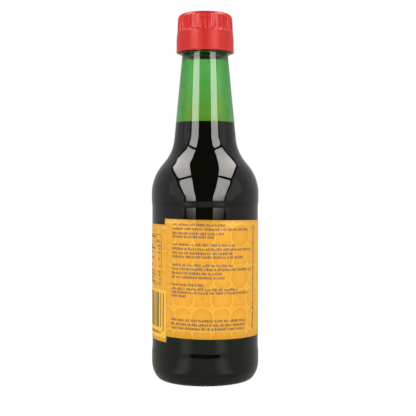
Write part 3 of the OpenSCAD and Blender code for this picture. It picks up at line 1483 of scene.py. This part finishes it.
@dataclass
class LabelPrint:
    """What is printed over the label's pattern: greeked lines, a box, bars and a back panel."""

    label: Label
    seed: int = 7
    # How far off the paper the ink lies, on bare paper and on the field of colour
    off_paper: float = 0.008
    off_field: float = 0.028
    text_h: float = 1.3
    lines: tuple[Words, ...] = (
        Words(58.9, 35.2), Words(56.7, 49.8), Words(54.4, 33.5), Words(52.6, 28.8),
        Words(48.5, 40.4), Words(46.4, 52.1), Words(44.2, 38.6), Words(42.3, 45.4),
        Words(38.0, 39.2), Words(36.0, 52.3), Words(33.8, 32.7), Words(31.7, 34.7),
        Words(27.8, 23.7), Words(25.7, 42.9), Words(23.8, 50.4), Words(21.9, 14.0),
        Words(9.5, 48.1), Words(7.3, 48.1), Words(5.2, 48.6),
    )
    column_along: float = 54.7
    column_low: float = 3.8
    column_high: float = 58.1
    column_w: float = 1.3
    box_left: float = 150.6
    box_right: float = 178.7
    box_low: float = 29.7
    box_high: float = 56.1
    divider: float = 51.9
    box_corner_r: float = 1.0
    box_line_w: float = 0.3
    divider_h: float = 0.25
    divider_in: float = 0.2
    box_title: Words = Words(54.7, 173.8, 152.5)
    box_heading: Words = Words(52.9, 177.2, 173.6)
    box_heading_h: float = 0.9
    box_text_h: float = 1.1
    box_text_left: float = 152.5
    box_text_right: float = 172.0
    box_text_short: tuple[float, ...] = (0.0, 2.0, 4.0)
    box_amount_right: float = 177.9
    box_amount_w: tuple[float, ...] = (1.4, 2.2, 3.0)
    box_rows: tuple[float, ...] = (50.1, 48.5, 46.6, 43.4, 39.6, 36.5, 34.7, 32.8, 30.9)
    back_left: float = 84.0
    back_right: float = 128.0
    # Paragraphs of the back: the heights of their lines, how short a line may be, their size
    back_text: tuple[tuple[tuple[float, ...], tuple[float, ...], float], ...] = (
        ((52.0, 49.0, 46.0), (0.0, 4.0, 9.0), 1.6),
        ((24.0, 21.8, 19.6, 17.4, 15.2), (0.0, 3.0, 7.0), 1.3),
    )
    field_left: float = 150.0
    field_right: float = 182.7
    field_high: float = 27.1
    field_low: float = 2.0
    # Bars from the right: left edge, width and lower end
    bars: tuple[tuple[float, float, float], ...] = (
        (180.4, 0.65, 5.1), (178.0, 0.75, 7.2), (174.5, 1.9, 7.2), (172.3, 1.3, 7.2),
        (170.4, 0.8, 7.2), (167.6, 2.0, 7.2), (165.9, 0.8, 7.2), (163.4, 1.6, 7.2),
        (161.7, 0.8, 7.2), (159.0, 1.9, 7.2), (157.4, 0.8, 7.2), (155.3, 1.4, 7.2),
        (154.2, 0.6, 5.1), (152.9, 0.7, 5.1),
    )
    bars_high: float = 25.7
    digits: Words = Words(4.6, 179.0, 155.0)
    digits_h: float = 1.5
    ink: Finish = field(default_factory=lambda: PrintersInk("ink_grey_brown_offset"))
    yellow: Finish = field(
        default_factory=lambda: PrintersInk("ink_yellow_offset", "#f6c32e", "#f3bc2c", 6.0)
    )
    bar_ink: Finish = field(
        default_factory=lambda: PrintersInk("ink_brown_offset", "#6a5230", "#7c6238", 3.0)
    )

    def build(self) -> list[Piece]:
        """Makes the fields of colour and the marks on them."""
        dice = random.Random(self.seed)
        fields = Print(self.label, "label_fields", self.yellow, self.off_paper)
        fields.block(
            self.field_left,
            self.field_low,
            self.field_right - self.field_left,
            self.field_high - self.field_low,
        )

        marks = Print(self.label, "label_lines", self.ink, self.off_paper)
        for line in self.lines:
            marks.words(line, self.text_h, dice)
        marks.column(self.column_along, self.column_low, self.column_high, self.column_w, dice)
        self.back_lines(marks, dice)

        dark = Print(self.label, "label_bars", self.bar_ink, self.off_field)
        for left, width, low in self.bars:
            dark.block(left, low, width, self.bars_high - low)
        dark.words(self.digits, self.digits_h, dice)
        self.box(dark, dice)
        return [p.build() for p in (fields, marks, dark)]

    def box(self, marks: Print, dice: random.Random) -> None:
        """Draws the ruled box with its rows of small dashes."""
        left, width = self.box_left, self.box_right - self.box_left
        height = self.box_high - self.box_low
        marks.frame(left, self.box_low, width, height, self.box_corner_r, self.box_line_w)
        gap = self.divider_in
        marks.block(left + gap, self.divider, width - 2 * gap, self.divider_h)
        marks.words(self.box_title, self.box_text_h, dice)
        marks.words(self.box_heading, self.box_heading_h, dice)
        for up in self.box_rows:
            amount_left = self.box_amount_right - dice.choice(self.box_amount_w)
            marks.words(Words(up, self.box_amount_right, amount_left), self.box_text_h, dice)
            end = self.box_text_right - dice.choice(self.box_text_short)
            marks.words(Words(up, end, self.box_text_left), self.box_text_h, dice)

    def back_lines(self, marks: Print, dice: random.Random) -> None:
        """Draws the greeked lines of the side that faces away."""
        for heights, shorter, tall in self.back_text:
            for up in heights:
                end = self.back_right - dice.choice(shorter)
                marks.words(Words(up, end, self.back_left), tall, dice)


# ---------------------------------------------------------------------------------------------
# The studio

Stops = Sequence[tuple[float, float]]


def between(stops: Stops, at: float) -> float:
    """Reads a value between stops of place and value, level beyond the ends."""
    if at <= stops[0][0]:
        return stops[0][1]
    for (a, low), (b, high) in zip(stops, stops[1:]):
        if at <= b:
            return low + (high - low) * (at - a) / (b - a)
    return stops[-1][1]


@dataclass(frozen=True)
class Panel:
    """A panel of light or of dark cloth that only reflections see, as a part of a sphere.

    Its sides are given as how far sideways they lie, from 0 ahead to 1 at the side, for each rise
    in degrees from the level, over the top to behind. Its ends are rises at its inner and outer
    side. Its light fades by rise.
    """

    name: str
    light: float
    inner: Stops
    outer: Stops
    low: tuple[float, float]
    high: tuple[float, float]
    distance: float = 1.2
    fade: Stops = ((0.0, 1.0),)
    tone: str = "#fffbf5"
    cells: int = 60

    def build(self, side: int) -> None:
        """Makes the panel on the right (1) or the left (-1)."""
        mesh = bmesh.new()
        bmesh.ops.create_grid(mesh, x_segments=6, y_segments=self.cells, size=0.5)
        layer = mesh.verts.layers.float.new("share")
        for vert in mesh.verts:
            across, along = vert.co.x + 0.5, vert.co.y + 0.5
            low = self.low[0] + (self.low[1] - self.low[0]) * across
            high = self.high[0] + (self.high[1] - self.high[0]) * across
            rise = low + (high - low) * along
            inner, outer = between(self.inner, rise), between(self.outer, rise)
            out = inner + (outer - inner) * across
            ahead = math.sqrt(1 - out ** 2)
            turn = math.radians(rise)
            vert[layer] = between(self.fade, rise)
            vert.co = Vector((
                side * out, -ahead * math.cos(turn), ahead * math.sin(turn)
            )) * self.distance + Vector((0.0, 0.0, Studio.middle_z * MM))
        piece = finish_piece(
            f"{self.name}_{'left' if side < 0 else 'right'}",
            mesh,
            [PlainLight("studio_panel_glow", self.light, self.tone).material()],
        )
        Studio.place(piece, SeenBy.REFLECTIONS)


@dataclass
class Studio:
    """Camera, pale floor, even light all round, and the light panels that the gloss mirrors."""

    camera_y: float = -504.0
    camera_z: float = 105.0
    camera_pitch: float = -1.435
    camera_yaw: float = -0.176
    lens: float = 80.3
    middle_z: ClassVar[float] = 140.0
    strip_light: float = 7.7
    frame_light: float = 0.07
    centre_light: float = 0.083
    room_light: float = 0.5
    side_light: float = 0.8
    # Distances of the panels in metres: each hangs behind the one before
    card_at: float = 1.22
    frame_at: float = 1.24
    wall_at: float = 1.26
    wall_edge: float = 0.985
    floor_reach: float = 15.0
    mirrored_reach: float = 0.6
    shade_r: float = 21.5
    pools: tuple[tuple[str, float, float], ...] = (("left", -39.0, 19.0), ("right", 31.0, 19.0))
    pool_light: float = 0.9
    pool_edge: float = 0.45
    pool_reach: tuple[float, float] = (40.0, 600.0)
    left_outer: Stops = (
        (-2, 0.65), (0, 0.70), (12, 0.75), (25, 0.79), (33, 0.81), (42, 0.79), (72, 0.79),
        (96, 0.77), (118, 0.68),
    )
    right_outer: Stops = (
        (-2, 0.65), (0, 0.70), (12, 0.73), (25, 0.76), (33, 0.79), (42, 0.765), (68, 0.77),
        (88, 0.75), (107, 0.68), (118, 0.64),
    )
    left_inner: Stops = (
        (-2, 0.34), (0, 0.38), (10, 0.40), (23, 0.43), (45, 0.45), (67, 0.445), (83, 0.41),
        (110, 0.37),
    )
    right_inner: Stops = (
        (-2, 0.28), (0, 0.32), (10, 0.36), (20, 0.405), (49, 0.43), (66, 0.425), (83, 0.37),
        (110, 0.35),
    )
    low_fade: Stops = ((-6.0, 0.04), (-4.5, 0.18), (-3.7, 0.38), (-2.9, 1.0))
    frame_w: float = 0.045

    @staticmethod
    def place(piece: Piece, seen: SeenBy) -> None:
        """Puts a piece on the stage, met only by some rays."""
        for kind in ("camera", "diffuse", "glossy", "transmission", "volume_scatter", "shadow"):
            name = f"visible_{kind}"
            setattr(piece, name, name in seen.value)
        for slot in piece.material_slots:
            slot.material.cycles.emission_sampling = "NONE"

    def camera(self) -> None:
        """Sets the camera up."""
        data = bpy.data.cameras.new("camera")
        data.lens = self.lens
        data.sensor_width = 36.0
        data.clip_start = 0.01
        made = bpy.data.objects.new("camera", data)
        made.location = (0.0, self.camera_y * MM, self.camera_z * MM)
        made.rotation_euler = (
            math.radians(90 + self.camera_pitch), 0.0, math.radians(self.camera_yaw)
        )
        bpy.context.scene.collection.objects.link(made)
        bpy.context.scene.camera = made

    def floor(self, name: str, reach: float, paint: Finish, seen: SeenBy, below: float) -> None:
        """Lays a floor that some rays meet.

        Args:
            name: the floor's name.
            reach: its radius in metres.
            paint: its finish.
            seen: the rays that meet it.
            below: how far below the base it lies, in millimetres.
        """
        mesh = bmesh.new()
        bmesh.ops.create_circle(
            mesh,
            cap_ends=True,
            segments=64,
            radius=reach,
            matrix=Matrix.Translation((0.0, 0.0, -below * MM)),
        )
        Studio.place(finish_piece(name, mesh, [paint.material()]), seen)

    def floor_pool(self, name: str, middle: float, half: float) -> None:
        """Lays a soft pool of light on the mirrored floor, away from the bottle.

        Args:
            name: its name.
            middle: its turn from the front, in degrees.
            half: how far it reaches to each side, in degrees.
        """
        mesh = bmesh.new()
        bmesh.ops.create_grid(mesh, x_segments=12, y_segments=2, size=0.5)
        layer = mesh.verts.layers.float.new("share")
        near, far = self.pool_reach
        for vert in mesh.verts:
            across = vert.co.x * 2
            turn = math.radians(middle + half * across)
            out = near + (far - near) * (vert.co.y + 0.5)
            vert[layer] = self.pool_edge + (1 - self.pool_edge) * (1 - across ** 2) ** 2
            vert.co = Vector((math.sin(turn), -math.cos(turn), 0.0)) * out * MM
        paint = PlainLight("studio_floor_pool", self.pool_light, "#f6ffec")
        Studio.place(finish_piece(name, mesh, [paint.material()]), SeenBy.REFLECTIONS)

    def panels(self) -> None:
        """Hangs the light strips, their dark frames and the dark card between them."""
        for side, inner, outer in (
            (-1, self.left_inner, self.left_outer), (1, self.right_inner, self.right_outer)
        ):
            framed = [(rise, out + self.frame_w) for rise, out in outer]
            edge = [(rise, self.wall_edge) for rise, _ in outer]
            light, wall = self.strip_light, self.side_light
            for panel in (
                Panel("strip_low", light, inner, outer, (-6, -6), (44, 46.5), fade=self.low_fade),
                Panel("strip_high", light, inner, outer, (50.5, 55), (118, 118)),
                Panel("side_wall", wall, framed, edge, (-6, -6), (70, 70), self.wall_at),
                Panel(
                    "strip_frame", self.frame_light, inner, framed, (-7, -7), (122, 122),
                    self.frame_at,
                ),
                Panel(
                    "centre_card", self.centre_light, ((0, 0.0),), inner, (-7, -7), (124, 124),
                    self.card_at, tone="#f4ffc8",
                ),
            ):
                panel.build(side)

    def world(self) -> None:
        """Lights the room evenly: white behind glass and for matt faces, grey in reflections."""
        made = bpy.data.worlds.new("studio_room")
        made.use_nodes = True
        tree = made.node_tree
        tree.nodes.clear()
        path = add_node(tree, "ShaderNodeLightPath")
        # Refracted rays count as glossy too, and those see the white room
        mirrored = add_node(
            tree,
            "ShaderNodeMath",
            {0: path.outputs["Is Glossy Ray"], 1: path.outputs["Is Reflection Ray"]},
            operation="MULTIPLY",
        )
        strength = add_node(
            tree,
            "ShaderNodeMapRange",
            {"Value": mirrored.outputs[0], "To Min": 1.0, "To Max": self.room_light},
        )
        glow = add_node(
            tree,
            "ShaderNodeBackground",
            {"Color": (1.0, 1.0, 1.0, 1.0), "Strength": strength.outputs["Result"]},
        )
        add_node(tree, "ShaderNodeOutputWorld", {"Surface": glow.outputs["Background"]})
        bpy.context.scene.world = made

    def floors(self) -> None:
        """Lays a floor for each kind of ray, and the shade and the pools of light on it."""
        for name, reach, paint, seen, below in (
            (
                "floor", self.floor_reach, FloorPaint("studio_floor_white", 0.15, 0.97),
                SeenBy.CAMERA, 0.2,
            ),
            (
                "floor_bounce", self.floor_reach, FloorPaint("studio_floor_bounce", 0.3, 0.86),
                SeenBy.BOUNCES, 0.3,
            ),
            (
                "floor_mirrored", self.mirrored_reach,
                FloorPaint("studio_floor_grey", 0.15, 0.3, "#f4ffe6"), SeenBy.REFLECTIONS, 0.1,
            ),
            (
                "floor_shaded", self.shade_r * MM, FloorPaint("studio_floor_shaded", 0.8, 0.0),
                SeenBy.CAMERA, 0.1,
            ),
        ):
            self.floor(name, reach, paint, seen, below)
        for side, middle, half in self.pools:
            self.floor_pool(f"floor_pool_{side}", middle, half)

    def build(self) -> None:
        """Sets up everything round the bottle."""
        self.camera()
        self.floors()
        self.panels()
        self.world()
        bpy.context.scene.view_settings.view_transform = "Standard"
        LOG.info("studio ready")


def main() -> None:
    """Builds the studio, then the bottle from the glass outward."""
    logging.basicConfig(level=logging.INFO, format="%(message)s")
    Studio().build()
    glass = Glass()
    glass.build()
    Sauce(glass).build()
    Cap().build()
    label = Label()
    label.build()
    LabelPrint(label).build()


if __name__ == "__main__":
    main()
